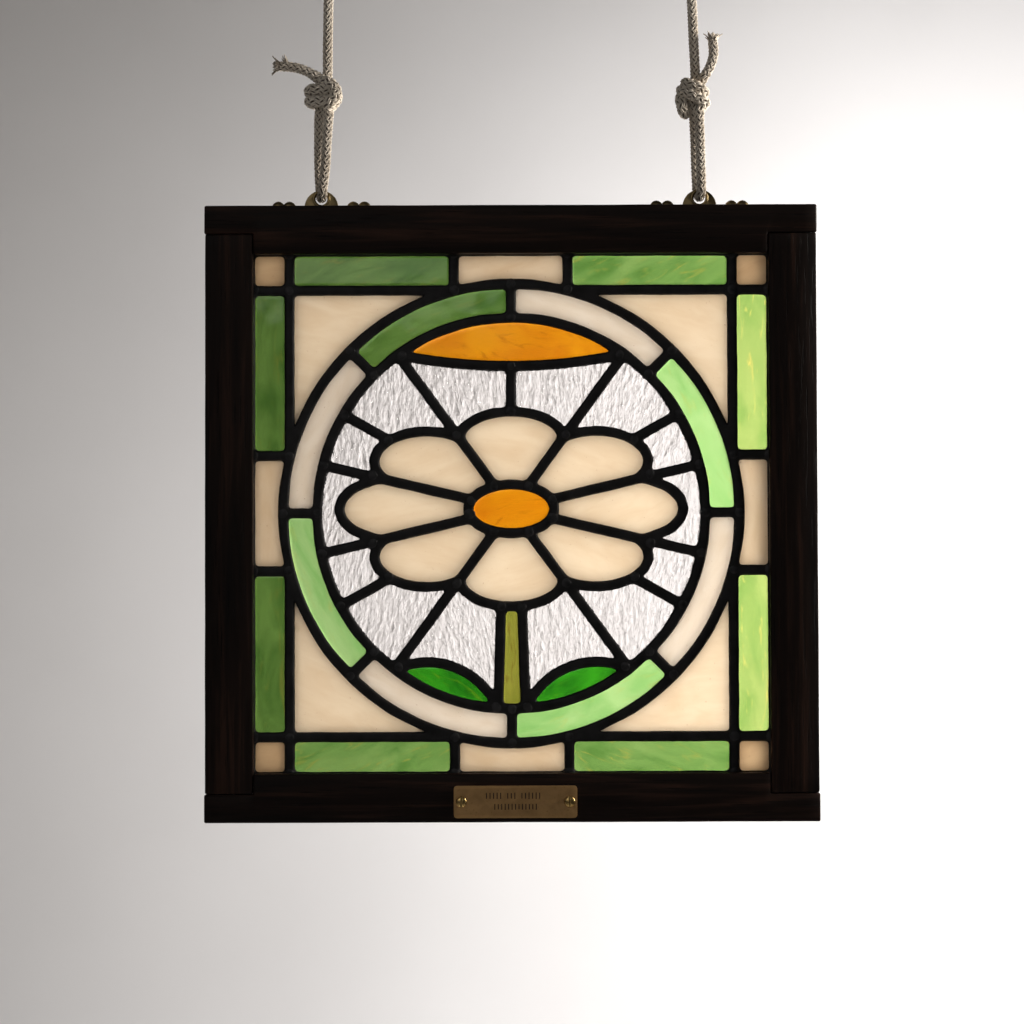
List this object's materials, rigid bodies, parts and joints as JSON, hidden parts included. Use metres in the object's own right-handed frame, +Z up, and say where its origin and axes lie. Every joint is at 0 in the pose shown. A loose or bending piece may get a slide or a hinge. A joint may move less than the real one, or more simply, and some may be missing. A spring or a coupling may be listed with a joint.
{
  "type": "stained glass window panel",
  "caption": "Square leaded glass panel with a daisy in a banded ring, green and cream border, dark wood frame, brass name plate and two knotted cotton ropes to hang it by.",
  "frame": {"origin": "midway between the two rope loops, at the height where the loops bear on their hooks", "axes": "+X to the right as seen from the front, -Y out of the front of the panel, +Z up along the ropes"},
  "size_m": [0.304, 0.0276, 0.4591],
  "materials": {
    "wood": "near-black stained hardwood, satin, faint reddish grain, slightly worn edges",
    "lead": "lead came and solder with black patina, satin",
    "green_glass": "green streaky cathedral glass with paler wisps, smooth",
    "leaf_glass": "deep green streaky glass, smooth",
    "cream_glass": "cream opalescent glass, smooth",
    "amber_glass": "amber opalescent glass with darker streaks, smooth",
    "clear_glass": "clear rolled glass with a rippled, hammered face",
    "brass": "aged brass, satin, darkened",
    "cotton": "natural braided cotton cord, matt"
  },
  "bodies": {
    "root": {"amber_cap": "amber_glass", "border_block_bottom": "cream_glass", "border_block_left": "cream_glass", "border_block_right": "cream_glass", "border_block_top": "cream_glass", "border_strip_bottom_left": "green_glass", "border_strip_bottom_right": "green_glass", "border_strip_left_bottom": "green_glass", "border_strip_left_top": "green_glass", "border_strip_right_bottom": "green_glass", "border_strip_right_top": "green_glass", "border_strip_top_left": "green_glass", "border_strip_top_right": "green_glass", "came_lattice": "lead", "clear_pane_1": "clear_glass", "clear_pane_2": "clear_glass", "clear_pane_3": "clear_glass", "clear_pane_4": "clear_glass", "clear_pane_5": "clear_glass", "clear_pane_6": "clear_glass", "clear_pane_7_left": "clear_glass", "clear_pane_7_right": "clear_glass", "clear_pane_8": "clear_glass", "corner_square_bottom_left": "cream_glass", "corner_square_bottom_right": "cream_glass", "corner_square_top_left": "cream_glass", "corner_square_top_right": "cream_glass", "flower_eye": "amber_glass", "flower_stem": "leaf_glass", "frame_rail_bottom": "wood", "frame_rail_top": "wood", "frame_stile_left": "wood", "frame_stile_right": "wood", "hanger_left": "brass", "hanger_right": "brass", "leaf_left": "leaf_glass", "leaf_right": "leaf_glass", "name_plate": "brass", "petal_1": "cream_glass", "petal_2": "cream_glass", "petal_3": "cream_glass", "petal_4": "cream_glass", "petal_5": "cream_glass", "petal_6": "cream_glass", "petal_7": "cream_glass", "petal_8": "cream_glass", "ring_piece_1": "green_glass", "ring_piece_2": "cream_glass", "ring_piece_3": "green_glass", "ring_piece_4": "cream_glass", "ring_piece_5": "green_glass", "ring_piece_6": "cream_glass", "ring_piece_7": "green_glass", "ring_piece_8": "cream_glass", "rope_left": "cotton", "rope_right": "cotton", "spandrel_bottom_left": "cream_glass", "spandrel_bottom_right": "cream_glass", "spandrel_top_left": "cream_glass", "spandrel_top_right": "cream_glass"}
  },
  "joints": []
}
